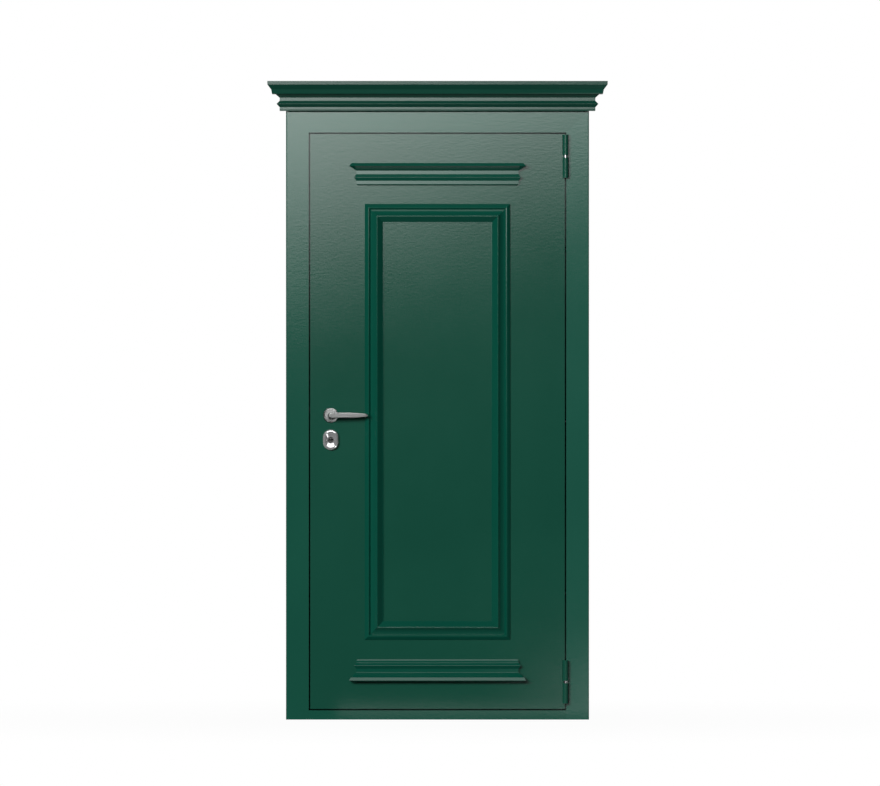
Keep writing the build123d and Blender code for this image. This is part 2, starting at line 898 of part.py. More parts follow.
with BuildPart() as lock_faceplate:
    with BuildSketch(side_plane(faceplate_x)):
        with Locations((lock_y, case_mid)):
            Rectangle(faceplate_width, faceplate_height)
        with Locations((lock_y, latch_z)):
            Rectangle(latch_width + 2 * part_clear, latch_height + 2 * part_clear, mode=Mode.SUBTRACT)
        with Locations(*[(lock_y, z) for z in deadbolt_heights]):
            Circle(deadbolt_radius + part_clear, mode=Mode.SUBTRACT)
    extrude(amount=faceplate_thick)
    screw_holes(faceplate_seat, faceplate_screw_places, screw_radius, screw_head_radius)
    screw_holes(faceplate_seat, cylinder_screw_place, cylinder_screw_radius, cylinder_screw_head)

faceplate_screws = screws_in(
    faceplate_seat, faceplate_screw_places, screw_radius, screw_head_radius, screw_length
)
cylinder_screw_length = handle_x + cylinder_tail / 2 - faceplate_x
cylinder_screw = screws_in(
    faceplate_seat, cylinder_screw_place, cylinder_screw_radius, cylinder_screw_head, cylinder_screw_length
)

latch_tip_x = faceplate_x - latch_throw
latch_low = latch_z - latch_height / 2
latch_top = latch_z + latch_height / 2
finger_x = handle_x + arm_width / 2 + arm_play
finger_end_x = finger_x + latch_finger

with BuildPart() as latch_bolt:
    with BuildSketch(Plane.XY.offset(latch_low)):
        draw_closed(
            [
                (latch_tip_x, lock_y - latch_width / 2),
                (latch_tip_x + latch_head_length, lock_y - latch_width / 2),
                (latch_tip_x + latch_head_length, lock_y + latch_width / 2),
                (latch_tip_x + latch_throw, lock_y + latch_width / 2),
            ]
        )
    extrude(amount=latch_height)
    with BuildSketch(front_plane(lock_y)):
        with Locations((latch_tip_x + latch_head_length, latch_top)):
            bar_length = finger_end_x - latch_tip_x - latch_head_length
            Rectangle(bar_length, latch_bar, align=(Align.MIN, Align.MAX))
        with Locations((finger_x, latch_top)):
            Rectangle(latch_finger, latch_height, align=(Align.MIN, Align.MAX))
    extrude(amount=arm_thick / 2, both=True)

spring_length = case_back_x - lock_case_wall - finger_end_x
spring_pitch = (spring_length - 2 * spring_wire) / spring_turns
spring_start = (finger_end_x + spring_wire, lock_y, latch_z)

with BuildPart() as latch_spring:
    with BuildLine():
        coil_length = spring_turns * spring_pitch
        coil = Helix(spring_pitch, coil_length, spring_radius, center=spring_start, direction=(1, 0, 0))
    with BuildSketch(Plane(origin=coil @ 0, z_dir=coil % 0)):
        Circle(spring_wire)
    sweep(path=coil)

with BuildPart() as follower:
    with BuildSketch(front_plane(lock_y)):
        with Locations((handle_x, handle_height)):
            Circle(follower_radius)
    extrude(amount=lock_case_width / 2, both=True)
    with BuildSketch(front_plane(lock_y)):
        with Locations((handle_x, handle_height)):
            Rectangle(arm_width, latch_arm, align=(Align.CENTER, Align.MIN))
    extrude(amount=arm_thick / 2, both=True)
    with BuildSketch(front_plane(lock_y)):
        with Locations((handle_x, handle_height)):
            Rectangle(spindle_side + 2 * spindle_fit, spindle_side + 2 * spindle_fit)
    extrude(amount=lock_case_width, both=True, mode=Mode.SUBTRACT)

deadbolt_tip_x = faceplate_x + part_clear

with BuildPart() as deadbolts:
    with BuildSketch(side_plane(deadbolt_tip_x)):
        with Locations(*[(lock_y, z) for z in deadbolt_heights]):
            Circle(deadbolt_radius)
    extrude(amount=deadbolt_length)
    fillet(deadbolts.faces().group_by(Axis.X)[0].edges(), deadbolt_tip_round)
    with BuildSketch(side_plane(deadbolt_tip_x + deadbolt_length)):
        with Locations((lock_y, deadbolt_mid)):
            Rectangle(arm_thick, deadbolt_span)
    extrude(amount=carriage_thick)

# Strike plate on the hidden side of the lock jamb's rebate


def strike_seat(y, z):
    """Plane on the rebate's face, facing the leaf."""
    return Plane(origin=(-open_half, y, z), x_dir=(0, 1, 0), z_dir=(1, 0, 0))


strike_screw_places = [(lock_y, z) for z in strike_screw_heights]

with BuildPart() as strike_plate:
    with BuildSketch(side_plane(-open_half - frame_sheet)):
        with Locations((lock_y, strike_mid)):
            Rectangle(strike_width, strike_top - strike_low)
        with Locations((lock_y, latch_z)):
            Rectangle(latch_window_width, latch_window_height, mode=Mode.SUBTRACT)
        with Locations(*[(lock_y, z) for z in deadbolt_heights]):
            Circle(deadbolt_radius + deadbolt_hole_clear, mode=Mode.SUBTRACT)
        with Locations(*strike_screw_places):
            Circle(screw_radius + screw_fit, mode=Mode.SUBTRACT)
    extrude(amount=-strike_thick)

with BuildPart() as strike_screws:
    with BuildSketch(side_plane(-open_half)):
        with Locations(*strike_screw_places):
            Circle(screw_head_radius)
    extrude(amount=-frame_sheet)
    with BuildSketch(side_plane(-open_half)):
        with Locations(*strike_screw_places):
            Circle(screw_radius)
    extrude(amount=-screw_length)

# Profile cylinder: body, locked outer plug, cam and guard disc

cam_half = cam_slot / 2
bore_radius = plug_radius + running_fit

with BuildPart() as cylinder_body:
    with BuildSketch(front_plane(cylinder_front_y)):
        cylinder_outline(0)
    extrude(amount=cylinder_front_y - cylinder_back_y)
    with BuildSketch(front_plane(lock_y)):
        with Locations((handle_x, bridge_top)):
            Rectangle(2 * cylinder_height, cylinder_height, align=(Align.CENTER, Align.MIN))
    extrude(amount=cam_half, both=True, mode=Mode.SUBTRACT)
    with BuildSketch(front_plane(lock_y)):
        with Locations((handle_x, cylinder_z)):
            Circle(bore_radius)
    extrude(amount=cylinder_back_y - cylinder_front_y, both=True, mode=Mode.SUBTRACT)
    with BuildSketch(side_plane(handle_x)):
        with Locations((lock_y, cylinder_screw_z)):
            Circle(cylinder_screw_radius + screw_fit)
    extrude(amount=cylinder_tail, both=True, mode=Mode.SUBTRACT)

plug_back_y = lock_y - cam_half

with BuildPart() as cylinder_plug:
    with BuildSketch(front_plane(cylinder_front_y)):
        with Locations((handle_x, cylinder_z)):
            Circle(plug_radius)
    extrude(amount=cylinder_front_y - plug_back_y)
    with BuildSketch(front_plane(cylinder_front_y)):
        with Locations((handle_x, cylinder_z)):
            Rectangle(key_slot_length, key_slot_width)
    extrude(amount=-key_slot_depth, mode=Mode.SUBTRACT)

with BuildPart() as cylinder_cam:
    with BuildSketch(front_plane(lock_y)):
        with Locations((handle_x, cylinder_z)):
            Circle(cam_radius)
            Rectangle(cam_lobe_width, cam_lobe, align=(Align.CENTER, Align.MAX))
            Circle(cam_lobe, mode=Mode.INTERSECT)
    extrude(amount=cam_half - cam_clear, both=True)

with BuildPart() as thumbturn:
    with BuildSketch(front_plane(lock_y + cam_half - cam_clear)):
        with Locations((handle_x, cylinder_z)):
            Circle(plug_radius)
    extrude(amount=lock_y + cam_half - cam_clear - cylinder_back_y - turn_play)
    with BuildSketch(front_plane(cylinder_back_y + turn_play)):
        with Locations((handle_x, cylinder_z)):
            Circle(turn_stem_radius)
    extrude(amount=-turn_stem_length)
    with BuildSketch(front_plane(cylinder_back_y + turn_play + turn_stem_length)):
        with Locations((handle_x, cylinder_z)):
            SlotOverall(turn_grip_length, turn_grip_width, rotation=90)
    extrude(amount=-turn_grip_reach)
    fillet(thumbturn.faces().sort_by(Axis.Y)[-1].edges(), turn_round)

# Escutcheons


def oval(wide, high):
    """Upright oval round the cylinder, in the sketch that is open."""
    with Locations((handle_x, cylinder_z)):
        SlotOverall(high, wide, rotation=90)


with BuildPart() as outer_escutcheon:
    with BuildSketch(front_plane(front_y)):
        oval(escutcheon_width, escutcheon_height)
    extrude(amount=escutcheon_thick)
    fillet(outer_escutcheon.faces().sort_by(Axis.Y)[0].edges(), escutcheon_round)
    with BuildSketch(front_plane(front_y - escutcheon_thick)):
        oval(dish_width, dish_height)
    with BuildSketch(front_plane(guard_front_y)):
        oval(dish_foot_width, dish_foot_height)
    loft(mode=Mode.SUBTRACT)
    with BuildSketch(front_plane(guard_floor_y)):
        with Locations((handle_x, cylinder_z)):
            Circle(guard_radius + guard_fit)
    extrude(amount=guard_thick, mode=Mode.SUBTRACT)
    with BuildSketch(front_plane(front_y)):
        cylinder_outline(cylinder_hole_clear)
    extrude(amount=guard_seat, mode=Mode.SUBTRACT)

with BuildPart() as guard_disc:
    with BuildSketch(front_plane(guard_floor_y)):
        with Locations((handle_x, cylinder_z)):
            Circle(guard_radius)
    extrude(amount=guard_thick)
    with BuildSketch(front_plane(guard_front_y)):
        with Locations((handle_x, cylinder_z)):
            Circle(guard_radius * guard_ring_share)
    extrude(amount=-guard_ring_depth, mode=Mode.SUBTRACT)
    with BuildSketch(front_plane(guard_floor_y)):
        with Locations((handle_x, cylinder_z)):
            Rectangle(guard_slot_length, guard_slot_width)
    extrude(amount=guard_thick, mode=Mode.SUBTRACT)

with BuildPart() as inner_escutcheon:
    with BuildSketch(front_plane(panel_back_y)):
        oval(escutcheon_width, escutcheon_height)
    extrude(amount=-inner_escutcheon_thick)
    fillet(inner_escutcheon.faces().sort_by(Axis.Y)[-1].edges(), inner_escutcheon_round)
    with BuildSketch(front_plane(panel_back_y)):
        cylinder_outline(cylinder_hole_clear)
    extrude(amount=-inner_escutcheon_thick - overrun, mode=Mode.SUBTRACT)


# Handle: a rose and a lever on each face, on one square spindle


def rose(face_y, out):
    """Round rose with a rim, a groove and a raised middle, bored for the lever's neck."""
    bore = lever_neck_radius + running_fit
    outline = [(share * rose_radius, high * rose_thick) for share, high in rose_face_shares]
    plane = turning_plane(handle_x, face_y, handle_height, out)
    with BuildPart() as disc:
        with BuildSketch(plane):
            draw_closed([(bore, 0), *outline, (bore, rose_thick)])
        revolve(axis=Axis(plane.origin, plane.y_dir))
    return disc


outer_rose_disc = rose(front_y, -1)
inner_rose_disc = rose(panel_back_y, 1)

with BuildPart() as outer_rose:
    add(outer_rose_disc.part)
    with BuildSketch(front_plane(front_y)):
        with Locations(*rose_bolt_places):
            Circle(rose_bolt_radius + screw_fit)
    extrude(amount=rose_bolt_bite, mode=Mode.SUBTRACT)

bolt_head_y = panel_back_y + rose_thick - rose_bolt_sink

with BuildPart() as inner_rose:
    add(inner_rose_disc.part)
    with BuildSketch(front_plane(panel_back_y)):
        with Locations(*rose_bolt_places):
            Circle(rose_bolt_radius + screw_fit)
    extrude(amount=-rose_thick, mode=Mode.SUBTRACT)
    with BuildSketch(front_plane(bolt_head_y - rose_bolt_head_high)):
        with Locations(*rose_bolt_places):
            Circle(rose_bolt_head + screw_fit)
    extrude(amount=-rose_thick, mode=Mode.SUBTRACT)

with BuildPart() as rose_bolts:
    with BuildSketch(front_plane(bolt_head_y)):
        with Locations(*rose_bolt_places):
            Circle(rose_bolt_head)
    extrude(amount=rose_bolt_head_high)
    with BuildSketch(front_plane(bolt_head_y)):
        with Locations(*rose_bolt_places):
            Circle(rose_bolt_radius)
    extrude(amount=bolt_head_y - front_y + rose_bolt_bite)

grub_top = spindle_side / 2
grub_low = lever_neck_radius - grub_flush
grub_reach = rose_thick + (lever_reach - rose_thick) / 2
grub_ys = [front_y - grub_reach, panel_back_y + grub_reach]


def lever(face_y, out, grub_y):
    """Neck, rounded boss and tapering grip, with a square socket and a grub screw hole."""
    grip_y = face_y + out * lever_reach
    with BuildPart() as handle:
        with BuildSketch(front_plane(face_y)):
            with Locations((handle_x, handle_height)):
                Circle(lever_neck_radius)
        extrude(amount=-out * lever_reach)
        with BuildSketch(front_plane(grip_y - out * lever_thick / 2)):
            with Locations((handle_x, handle_height)):
                Circle(lever_boss_radius)
        extrude(amount=-out * lever_thick)
        outer_end = handle.faces().sort_by(Axis.Y)[0 if out < 0 else -1]
        fillet(outer_end.edges(), lever_boss_round)
        for along, thick, high in lever_section_shares:
            centre = (handle_x + along * lever_length, grip_y, handle_height)
            with BuildSketch(Plane(origin=centre, x_dir=(0, 1, 0), z_dir=(1, 0, 0))):
                size = (thick * lever_thick, high * lever_high)
                RectangleRounded(*size, lever_corner_share * min(size))
        loft()
        with BuildSketch(front_plane(face_y)):
            with Locations((handle_x, handle_height)):
                Rectangle(spindle_side + 2 * spindle_fit, spindle_side + 2 * spindle_fit)
        extrude(amount=-out * (lever_reach - spindle_end), mode=Mode.SUBTRACT)
        with BuildSketch(Plane(origin=(handle_x, grub_y, handle_height), z_dir=(0, 0, -1))):
            Circle(grub_radius + grub_fit)
        extrude(amount=lever_neck_radius + overrun, mode=Mode.SUBTRACT)
    return handle


outer_lever = lever(front_y, -1, grub_ys[0])
inner_lever = lever(panel_back_y, 1, grub_ys[1])

spindle_front_y = front_y - lever_reach + spindle_end
spindle_back_y = panel_back_y + lever_reach - spindle_end

with BuildPart() as spindle:
    with BuildSketch(front_plane(spindle_front_y)):
        with Locations((handle_x, handle_height)):
            Rectangle(spindle_side, spindle_side)
    extrude(amount=spindle_front_y - spindle_back_y)

with BuildPart() as grub_screws:
    with BuildSketch(Plane.XY.offset(handle_height - grub_top)):
        with Locations(*[(handle_x, y) for y in grub_ys]):
            Circle(grub_radius)
    extrude(amount=grub_top - grub_low)

pieces = {
    "hinge_jamb": hinge_jamb,
    "lock_jamb": lock_jamb,
    "frame_head": frame_head,
    "threshold": threshold,
    "frame_seal": frame_seal,
    "cornice_front": cornice_front,
    "cornice_left_return": cornice_left_return,
    "cornice_right_return": cornice_right_return,
    "cornice_screws": cornice_screws,
    "strike_plate": strike_plate,
    "strike_screws": strike_screws,
    "outer_skin": outer_skin,
    "hinge_stile": hinge_stile,
    "lock_stile": lock_stile,
    "top_rail": top_rail,
    "bottom_rail": bottom_rail,
    "stiffening_ribs": stiffening_ribs,
    "insulation": insulation,
    "inner_panel": inner_panel,
    "leaf_seal": leaf_seal,
    "dog_pins": dog_pins,
    "upper_ledge": upper_ledge,
    "lower_ledge": lower_ledge,
    "panel_moulding_left": panel_moulding_left,
    "panel_moulding_right": panel_moulding_right,
    "panel_moulding_top": panel_moulding_top,
    "panel_moulding_bottom": panel_moulding_bottom,
    "lock_case": lock_case,
    "lock_faceplate": lock_faceplate,
    "faceplate_screws": faceplate_screws,
    "cylinder_screw": cylinder_screw,
    "latch_bolt": latch_bolt,
    "latch_spring": latch_spring,
    "follower": follower,
    "deadbolts": deadbolts,
    "cylinder_body": cylinder_body,
    "cylinder_plug": cylinder_plug,
    "cylinder_cam": cylinder_cam,
    "thumbturn": thumbturn,
    "outer_escutcheon": outer_escutcheon,
    "inner_escutcheon": inner_escutcheon,
    "guard_disc": guard_disc,
    "outer_rose": outer_rose,
    "inner_rose": inner_rose,
    "rose_bolts": rose_bolts,
    "outer_lever": outer_lever,
    "inner_lever": inner_lever,
    "spindle": spindle,
    "grub_screws": grub_screws,
    **hinge_pieces,
}

os.makedirs("parts", exist_ok=True)
for name, piece in pieces.items():
    piece.part.label = name
    export_step(piece.part, f"parts/{name}.step")
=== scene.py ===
import json
import math

import bmesh
import bpy
from mathutils import Matrix, Vector


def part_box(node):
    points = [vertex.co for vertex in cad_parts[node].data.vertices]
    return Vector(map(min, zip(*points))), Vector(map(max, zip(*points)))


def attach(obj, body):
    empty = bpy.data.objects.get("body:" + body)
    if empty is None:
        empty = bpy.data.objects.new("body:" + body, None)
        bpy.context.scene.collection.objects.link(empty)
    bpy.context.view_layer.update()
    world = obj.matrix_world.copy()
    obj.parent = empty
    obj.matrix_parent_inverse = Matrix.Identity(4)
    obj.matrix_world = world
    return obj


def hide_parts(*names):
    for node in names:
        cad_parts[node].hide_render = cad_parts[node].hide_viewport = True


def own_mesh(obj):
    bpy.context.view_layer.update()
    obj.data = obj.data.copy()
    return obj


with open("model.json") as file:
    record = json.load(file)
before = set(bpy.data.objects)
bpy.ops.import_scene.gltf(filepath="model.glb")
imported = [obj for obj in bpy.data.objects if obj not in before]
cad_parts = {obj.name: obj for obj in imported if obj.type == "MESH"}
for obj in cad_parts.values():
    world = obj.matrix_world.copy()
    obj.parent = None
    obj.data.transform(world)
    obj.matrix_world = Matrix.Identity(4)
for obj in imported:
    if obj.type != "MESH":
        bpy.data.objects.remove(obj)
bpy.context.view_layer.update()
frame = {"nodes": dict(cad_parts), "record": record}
nodes = frame["nodes"]
finish_of = {part["node"]: part["material_slot"] for part in frame["record"]["subparts"]}

# Photograph: image size, and the door's scale and place in it
image_wide = 880
image_high = 786
metres_per_pixel = 0.003465
door_middle_px = 437.5
floor_line_px = 719.6
lens_mm = 400
sensor_mm = 36
view_limit = 200

# Floor: its size, how white it looks near the door and far away, and its own grey
floor_half = 12.0
floor_drop = 0.0005
floor_white_shares = (0.97, 1.0)
floor_fade = (0.7, 2.5)
floor_albedo = 0.12

# Floor as the paint mirrors it: white behind the door, dim in front, with a glow at the front right
floor_behind = (0.0, 0.4)
floor_front_level = 0.05
floor_across = (0.1, 0.6)
floor_far_edge = (1.3, 0.9)
floor_along = (-4.5, -1.0)
floor_near_edge = (-0.9, -1.4)
floor_glow = 5.2

# Surround: as light and as the paint mirrors it, behind the door and in front of it
surround_level = 0.75
front_level = 0.07
front_cone = (-0.5, 0.1)
mirrored_front_level = 0.02
mirrored_level = 0.4

# Paint: each pair of greens is a darker and a lighter tone
green = ((0.0052, 0.053, 0.0335), (0.006, 0.058, 0.037))
moulding_green = ((0.0012, 0.0535, 0.034), (0.0018, 0.0585, 0.0375))
# Painted shade: the cornice's green is a darker copy of the door's paint, so its down-facing slopes look
# shaded
cornice_shaded_green = ((0.0038, 0.041, 0.0265), (0.0044, 0.045, 0.0293))
# Painted light: the hinge-side casing is a lighter copy of the frame's green, standing in for more light
# falling on that side
lit_hinge_side_green = ((0.0085, 0.068, 0.0455), (0.0095, 0.074, 0.0495))
frame_green = ((0.0058, 0.061, 0.0395), (0.0066, 0.067, 0.043))
satin_sheen = 0.4
satin_gloss = (0.15, 0.18)
sheet_dimples = 180.0
sheet_depth = 0.00013
fine_dimples = 300.0
fine_depth = 0.00001
peel_stretch = (0.4, 1, 1)
grain_to_dimples = 4
grain_share = 0.25
tone_patches = 2.2
tone_limits = (0.3, 0.7)

# Metal, rubber and wool: tones in the same way
nickel = ((0.38, 0.392, 0.386), (0.46, 0.472, 0.466))
rose_nickel = ((0.46, 0.472, 0.466), (0.55, 0.562, 0.556))
chrome = ((0.76, 0.77, 0.78), (0.82, 0.83, 0.84))
steel = ((0.62, 0.63, 0.64), (0.76, 0.77, 0.78))
zinc = ((0.44, 0.46, 0.48), (0.6, 0.61, 0.62))
oxide = ((0.012, 0.012, 0.013), (0.03, 0.03, 0.031))
rubber = ((0.012, 0.012, 0.012), (0.022, 0.022, 0.022))
wool = ((0.42, 0.36, 0.18), (0.68, 0.62, 0.42))
guard_plate = (0.5, 0.51, 0.51)
# Painted shade: a black ring on the guard disc stands in for the shadow of its ring groove
guard_shade_black = (0.01, 0.01, 0.01)
guard_shade_ring = (0.0062, 0.008)
guard_gloss = (0.22, 0.5)
nickel_gloss = (0.28, 0.34)
brush_along = 40.0
brush_across = 2600.0
brush_depth = 0.00001

# Latch spring
spring_wire = 0.0006
spring_turns = 6
spring_steps = 28
spring_sides = 10


# Node helpers


def add_node(tree, kind, settings=None, **inputs):
    """New node, with its settings and the values of its named inputs."""
    node = tree.nodes.new(kind)
    for name, value in (settings or {}).items():
        setattr(node, name, value)
    for name, value in inputs.items():
        node.inputs[name.replace("_", " ")].default_value = value
    return node


def maths(tree, operation, first, second):
    """Math node's result; each operand is a socket or a number."""
    node = add_node(tree, "ShaderNodeMath", {"operation": operation})
    for socket, value in zip(node.inputs, (first, second)):
        if isinstance(value, bpy.types.NodeSocket):
            tree.links.new(value, socket)
        else:
            socket.default_value = value
    return node.outputs[0]


def vector_maths(tree, operation, first, second=None):
    """Vector Math node on a socket, with a fixed second vector where there is one."""
    node = add_node(tree, "ShaderNodeVectorMath", {"operation": operation})
    tree.links.new(first, node.inputs[0])
    if second is not None:
        node.inputs[1].default_value = second
    return node.outputs


def object_place(tree):
    """Point on the piece, in metres."""
    return add_node(tree, "ShaderNodeTexCoord").outputs["Object"]


def blend_colours(tree, share, first, second):
    """Colour between two fixed colours, by a share that changes over the surface."""
    node = add_node(tree, "ShaderNodeMix", {"data_type": "RGBA"})
    tree.links.new(share, node.inputs[0])
    node.inputs[6].default_value = (*first, 1)
    node.inputs[7].default_value = (*second, 1)
    return node.outputs[2]


def spread(tree, value, low, high):
    """A 0 to 1 value stretched over a range."""
    node = add_node(tree, "ShaderNodeMapRange", To_Min=low, To_Max=high)
    tree.links.new(value, node.inputs["Value"])
    return node.outputs["Result"]


def ramp(tree, value, low, high):
    """0 below a low value, 1 above a high one, and straight between."""
    node = add_node(tree, "ShaderNodeMapRange", {"clamp": True}, From_Min=low, From_Max=high)
    tree.links.new(value, node.inputs["Value"])
    return node.outputs["Result"]


def new_group(name, inputs, outputs):
    """Shader node group with number sockets; returns its tree, its input node and its output node."""
    tree = bpy.data.node_groups.new(name, "ShaderNodeTree")
    for socket, value in inputs.items():
        made = tree.interface.new_socket(socket, in_out="INPUT", socket_type="NodeSocketFloat")
        made.default_value = value
    for socket in outputs:
        tree.interface.new_socket(socket, in_out="OUTPUT", socket_type="NodeSocketFloat")
    return tree, tree.nodes.new("NodeGroupInput"), tree.nodes.new("NodeGroupOutput")


def place_group(tree, group, **inputs):
    """A group placed in a material, with its own values."""
    return add_node(tree, "ShaderNodeGroup", {"node_tree": group}, **inputs).outputs


# Effects that several finishes share


def paint_peel_group():
    """Orange peel of sprayed paint: soft dimples with a finer grain on them."""
    tree, given, made = new_group("paint_peel", {"Dimples": 260.0, "Grain": 900.0}, ["Height"])
    place = vector_maths(tree, "MULTIPLY", object_place(tree), peel_stretch)[0]
    heights = []
    for size, detail in (("Dimples", 1.5), ("Grain", 0.0)):
        noise = add_node(tree, "ShaderNodeTexNoise", Detail=detail, Roughness=0.45)
        tree.links.new(place, noise.inputs["Vector"])
        tree.links.new(given.outputs[size], noise.inputs["Scale"])
        heights.append(noise.outputs["Fac"])
    grain = maths(tree, "MULTIPLY", heights[1], grain_share)
    tree.links.new(maths(tree, "ADD", heights[0], grain), made.inputs["Height"])
    return tree


def tone_drift_group():
    """Slow change of tone and gloss across a painted or plated face."""
    tree, given, made = new_group("tone_drift", {"Patches": 3.0}, ["Tone"])
    noise = add_node(tree, "ShaderNodeTexNoise", Detail=3.0, Roughness=0.55)
    tree.links.new(object_place(tree), noise.inputs["Vector"])
    tree.links.new(given.outputs["Patches"], noise.inputs["Scale"])
    tree.links.new(ramp(tree, noise.outputs["Fac"], *tone_limits), made.inputs["Tone"])
    return tree


def brushed_group():
    """Fine lines of brushed metal, long along x and close together along y and z."""
    tree, given, made = new_group("brushed_lines", {"Along": 40.0, "Across": 2600.0}, ["Lines"])
    stretch = add_node(tree, "ShaderNodeCombineXYZ")
    for socket, size in zip(stretch.inputs, ("Along", "Across", "Across")):
        tree.links.new(given.outputs[size], socket)
    scaled = add_node(tree, "ShaderNodeVectorMath", {"operation": "MULTIPLY"})
    tree.links.new(object_place(tree), scaled.inputs[0])
    tree.links.new(stretch.outputs[0], scaled.inputs[1])
    noise = add_node(tree, "ShaderNodeTexNoise", Scale=1.0, Detail=2.0, Roughness=0.6)
    tree.links.new(scaled.outputs[0], noise.inputs["Vector"])
    tree.links.new(noise.outputs["Fac"], made.inputs["Lines"])
    return tree


paint_peel = paint_peel_group()
tone_drift = tone_drift_group()
brushed_lines = brushed_group()


# Finishes


def new_finish(name, **fixed):
    """Material with a Principled shader, whose fixed values are set on its own sockets."""
    material = bpy.data.materials.new(name)
    material.use_nodes = True
    tree = material.node_tree
    shader = tree.nodes["Principled BSDF"]
    for socket, value in fixed.items():
        shader.inputs[socket.replace("_", " ")].default_value = value
    return material, tree, shader


def tone_surface(tree, shader, share, tones, gloss):
    """Colour and roughness that change together over the surface."""
    tree.links.new(blend_colours(tree, share, *tones), shader.inputs["Base Color"])
    tree.links.new(spread(tree, share, *gloss), shader.inputs["Roughness"])


def raise_surface(tree, shader, height, depth):
    """Bump of a given depth in metres, on the shader's normal."""
    bump = add_node(tree, "ShaderNodeBump", Strength=1.0, Distance=depth)
    tree.links.new(height, bump.inputs["Height"])
    tree.links.new(bump.outputs["Normal"], shader.inputs["Normal"])


def paint_finish(name, tones, sheen=satin_sheen, gloss=satin_gloss, dimples=sheet_dimples, depth=sheet_depth):
    """Sprayed satin paint: two close greens, a slightly uneven gloss and orange peel."""
    material, tree, shader = new_finish(name, Specular_IOR_Level=sheen)
    tone = place_group(tree, tone_drift, Patches=tone_patches)["Tone"]
    tone_surface(tree, shader, tone, tones, gloss)
    height = place_group(tree, paint_peel, Dimples=dimples, Grain=grain_to_dimples * dimples)["Height"]
    raise_surface(tree, shader, height, depth)
    return material


def metal_finish(
    name, tones, gloss, along=brush_along, across=brush_across, depth=brush_depth, metallic=1.0
):
    """Plated or bare metal with fine lines in its tone, gloss and surface."""
    material, tree, shader = new_finish(name, Metallic=metallic)
    lines = place_group(tree, brushed_lines, Along=along, Across=across)["Lines"]
    tone_surface(tree, shader, lines, tones, gloss)
    raise_surface(tree, shader, lines, depth)
    return material


def rubber_finish():
    """Black extruded rubber with a dull, slightly patchy skin."""
    material, tree, shader = new_finish("seal_rubber_finish")
    tone = place_group(tree, tone_drift, Patches=30.0)["Tone"]
    tone_surface(tree, shader, tone, rubber, (0.6, 0.8))
    height = place_group(tree, paint_peel, Dimples=700.0, Grain=2400.0)["Height"]
    raise_surface(tree, shader, height, 0.00008)
    return material


def wool_finish():
    """Mineral wool: loose yellowish fibres."""
    material, tree, shader = new_finish("mineral_wool_finish")
    fibres = place_group(tree, brushed_lines, Along=120.0, Across=900.0)["Lines"]
    tone_surface(tree, shader, fibres, wool, (0.85, 1.0))
    raise_surface(tree, shader, fibres, 0.002)
    return material


def guard_finish():
    """Plated disc with a black ring round the keyhole, painted shade where the shadow of its ring groove
    falls.
    """
    low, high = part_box("guard_disc")
    material, tree, shader = new_finish("guard_disc_shade_finish", Metallic=1.0)
    offset = vector_maths(tree, "SUBTRACT", object_place(tree), (low + high) / 2)[0]
    flat = vector_maths(tree, "MULTIPLY", offset, (1, 0, 1))[0]
    away = vector_maths(tree, "LENGTH", flat)["Value"]
    # Painted shade ring: black between these two radii
    outside = maths(tree, "GREATER_THAN", away, guard_shade_ring[0])
    inside = maths(tree, "LESS_THAN", away, guard_shade_ring[1])
    shade_ring_share = maths(tree, "MULTIPLY", outside, inside)
    tone_surface(tree, shader, shade_ring_share, (guard_plate, guard_shade_black), guard_gloss)
    return material


finishes = {
    "green_paint": paint_finish("green_paint_finish", green),
    "moulding_paint": paint_finish(
        "moulding_paint_finish",
        moulding_green,
        sheen=0.56,
        gloss=(0.16, 0.2),
        dimples=fine_dimples,
        depth=fine_depth,
    ),
    "inner_board": paint_finish("inner_board_finish", green, gloss=(0.24, 0.3), dimples=200.0, depth=0.00005),
    "satin_nickel": metal_finish("satin_nickel_finish", nickel, nickel_gloss),
    "chrome_plate": metal_finish(
        "chrome_plate_finish", chrome, (0.08, 0.14), along=60.0, across=900.0, depth=0.000002, metallic=0.8
    ),
    "bright_steel": metal_finish(
        "bright_steel_finish", steel, (0.12, 0.2), along=900.0, across=1800.0, depth=0.000005
    ),
    "zinc_steel": metal_finish("zinc_steel_finish", zinc, (0.3, 0.45), along=200.0, across=700.0),
    "black_oxide": metal_finish("black_oxide_finish", oxide, (0.35, 0.5), along=400.0, across=900.0),
    "seal_rubber": rubber_finish(),
    "mineral_wool": wool_finish(),
}
frame_finish = paint_finish("frame_paint_finish", frame_green)
knuckle_finish = paint_finish(
    "knuckle_paint_finish", green, sheen=0.25, gloss=(0.26, 0.3), dimples=fine_dimples, depth=fine_depth
)
# Painted shade: the cornice gets the darker green so its slopes look shaded
cornice_shaded_finish = paint_finish("cornice_shaded_paint_finish", cornice_shaded_green, sheen=0.32, dimples=105.0, depth=0.0001)
own_finishes = {
    "cornice_front": cornice_shaded_finish,
    "cornice_left_return": cornice_shaded_finish,
    "cornice_right_return": cornice_shaded_finish,
    "upper_leaf_knuckle": knuckle_finish,
    "upper_frame_knuckle": knuckle_finish,
    "lower_leaf_knuckle": knuckle_finish,
    "lower_frame_knuckle": knuckle_finish,
    # Painted light: lighter green on the hinge-side casing
    "hinge_jamb": paint_finish("hinge_side_lit_finish", lit_hinge_side_green),
    "lock_jamb": frame_finish,
    "frame_head": frame_finish,
    "threshold": frame_finish,
    "outer_rose": metal_finish("rose_finish", rose_nickel, nickel_gloss),
    "guard_disc": guard_finish(),
}
for name, node in nodes.items():
    for slot in node.material_slots:
        slot.material = own_finishes.get(name) or finishes[finish_of[name]]


# New piece


